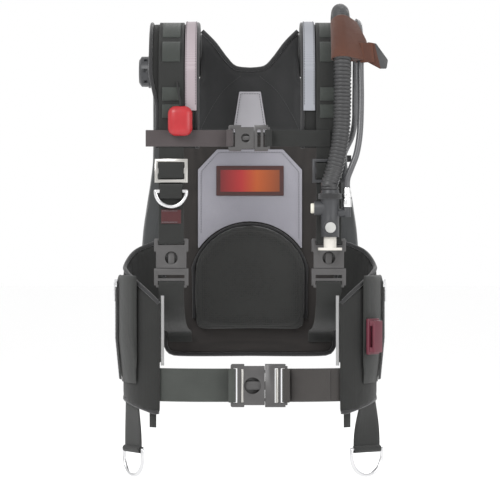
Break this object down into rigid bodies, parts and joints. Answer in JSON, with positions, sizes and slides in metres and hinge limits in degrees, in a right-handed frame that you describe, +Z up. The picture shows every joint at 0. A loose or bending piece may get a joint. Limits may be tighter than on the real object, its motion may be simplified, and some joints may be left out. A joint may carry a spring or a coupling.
{
  "type": "buoyancy compensator vest",
  "caption": "Back-inflation diving vest with shoulder and waist harness, cylinder band and cradle, inflator hose, dump valves, side-release buckles and D-rings.",
  "frame": {"origin": "centre of the tank band, on the cylinder's axis", "axes": "+Z up along the cylinder, -Y the way the wearer faces, +X the wearer's left"},
  "size_m": [0.4162, 0.44, 0.727],
  "materials": {
    "hard_plastic": "satin",
    "buckle_plastic": "satin",
    "grip_rubber": "matte",
    "webbing": "matte",
    "grey_webbing": "matte",
    "stainless": "satin",
    "chrome_fitting": "gloss",
    "cell_fabric": "matte",
    "panel_fabric": "matte",
    "pad_fabric": "matte",
    "pocket_fabric": "matte",
    "grey_trim": "matte",
    "orange_label": "satin",
    "cord": "matte",
    "red_knob": "gloss",
    "hose_rubber": "satin",
    "rust_fabric": "matte",
    "pale_plastic": "satin",
    "mouth_rubber": "matte",
    "dark_red_grip": "matte"
  },
  "bodies": {
    "harness": {"tank_cradle": "hard_plastic", "grip_pads": "grip_rubber", "tank_band": "webbing", "cam_frame": "hard_plastic", "cradle_screws": "stainless", "air_cell": "cell_fabric", "back_panel": "panel_fabric", "yoke_collar": "panel_fabric", "lumbar_pad": "pad_fabric", "badge_panel": "grey_trim", "badge_label": "orange_label", "neck_tab": "grey_trim", "grab_handle": "webbing", "shoulder_pad_left": "panel_fabric", "shoulder_pad_right": "panel_fabric", "shoulder_inlays": "grey_trim", "shoulder_webbing_left": "webbing", "shoulder_webbing_right": "webbing", "strap_sliders": "stainless", "shoulder_sockets": "buckle_plastic", "lower_strap_left": "webbing", "lower_strap_right": "webbing", "sternum_strap_left": "webbing", "sternum_strap_right": "grey_webbing", "sternum_socket": "buckle_plastic", "dump_valves": "hard_plastic", "dump_cord": "cord", "hose_port": "hard_plastic", "corrugated_hose": "hose_rubber", "elbow_cover": "rust_fabric", "hose_tab": "hose_rubber", "inflator_body": "hard_plastic", "hose_keepers": "webbing", "mouthpiece": "mouth_rubber", "lp_hose": "hose_rubber", "lp_fittings": "chrome_fitting"},
    "cam_lever": {"cam_lever": "buckle_plastic"},
    "chest_ring": {"chest_ring": "stainless"},
    "shoulder_plug_left": {"shoulder_plug_left": "buckle_plastic"},
    "shoulder_plug_right": {"shoulder_plug_right": "buckle_plastic"},
    "sternum_plug": {"sternum_plug": "buckle_plastic"},
    "inflate_button": {"inflate_button": "pale_plastic"},
    "deflate_button": {"deflate_button": "pale_plastic"},
    "dump_knob": {"dump_knob": "red_knob"},
    "rear_dump_knob": {"rear_dump_knob": "hard_plastic"},
    "wing_left": {"wing_left": "panel_fabric", "pocket_left": "pocket_fabric", "waist_strap_left": "webbing", "hip_strap_left": "webbing", "waist_plug": "buckle_plastic"},
    "wing_right": {"wing_right": "panel_fabric", "pocket_right": "pocket_fabric", "waist_strap_right": "webbing", "hip_strap_right": "webbing", "waist_socket": "buckle_plastic"},
    "hip_ring_left": {"hip_ring_left": "stainless"},
    "hip_ring_right": {"hip_ring_right": "stainless"},
    "ripcord_handle": {"ripcord_handle": "dark_red_grip"},
    "zip_pull_left": {"zip_pull_left": "stainless"},
    "zip_pull_right": {"zip_pull_right": "stainless"}
  },
  "joints": [
    {"name": "cam_open", "type": "hinge", "parent": "harness", "child": "cam_lever", "pos_m": [-0.016, 0.106, 0], "axis": [0, 0, 1], "range_deg": [0, 110]},
    {"name": "chest_ring_swing", "type": "hinge", "parent": "harness", "child": "chest_ring", "pos_m": [-0.119, -0.284, -0.009], "axis": [-1, 0, 0], "range_deg": [0, 120]},
    {"name": "shoulder_release_left", "type": "slide", "parent": "harness", "child": "shoulder_plug_left", "axis": [0, 0, -1], "range_m": [0, 0.04], "deforming": ["lower_strap_left"]},
    {"name": "shoulder_release_right", "type": "slide", "parent": "harness", "child": "shoulder_plug_right", "axis": [0, 0, -1], "range_m": [0, 0.04], "deforming": ["lower_strap_right"]},
    {"name": "sternum_release", "type": "slide", "parent": "harness", "child": "sternum_plug", "axis": [1, 0, 0], "range_m": [0, 0.03], "deforming": ["sternum_strap_left"]},
    {"name": "inflate_press", "type": "slide", "parent": "harness", "child": "inflate_button", "axis": [1, 0, 0], "range_m": [0, 0.004], "stiffness_N_per_m": 600, "springref_m": -0.004},
    {"name": "deflate_press", "type": "slide", "parent": "harness", "child": "deflate_button", "axis": [0, 1, 0], "range_m": [0, 0.004], "stiffness_N_per_m": 600, "springref_m": -0.004},
    {"name": "dump_pull", "type": "slide", "parent": "harness", "child": "dump_knob", "axis": [0, 0, -1], "range_m": [0, 0.012], "stiffness_N_per_m": 400, "springref_m": -0.006},
    {"name": "rear_dump_pull", "type": "slide", "parent": "harness", "child": "rear_dump_knob", "axis": [0, 1, 0], "range_m": [0, 0.012], "stiffness_N_per_m": 400, "springref_m": -0.006},
    {"name": "wing_swing_left", "type": "hinge", "parent": "harness", "child": "wing_left", "pos_m": [0.137, -0.1215, 0], "axis": [0, 0, 1], "range_deg": [0, 45]},
    {"name": "wing_swing_right", "type": "hinge", "parent": "harness", "child": "wing_right", "pos_m": [-0.137, -0.1215, 0], "axis": [0, 0, 1], "range_deg": [-45, 0]},
    {"name": "hip_ring_swing_left", "type": "hinge", "parent": "wing_left", "child": "hip_ring_left", "pos_m": [0.178, -0.238, -0.401], "axis": [0.8192, 0.5736, 0], "range_deg": [-60, 60]},
    {"name": "hip_ring_swing_right", "type": "hinge", "parent": "wing_right", "child": "hip_ring_right", "pos_m": [-0.178, -0.238, -0.401], "axis": [0.5299, -0.848, 0], "range_deg": [-60, 60]},
    {"name": "ripcord_pull", "type": "slide", "parent": "wing_left", "child": "ripcord_handle", "axis": [0.788, -0.6157, 0], "range_m": [0, 0.06]},
    {"name": "zip_left", "type": "slide", "parent": "wing_left", "child": "zip_pull_left", "axis": [0, 0, -1], "range_m": [0, 0.06]},
    {"name": "zip_right", "type": "slide", "parent": "wing_right", "child": "zip_pull_right", "axis": [0, 0, -1], "range_m": [0, 0.06]}
  ],
  "couplings": [
    {"joint": "wing_swing_right", "follows": "wing_swing_left", "ratio": -1}
  ]
}
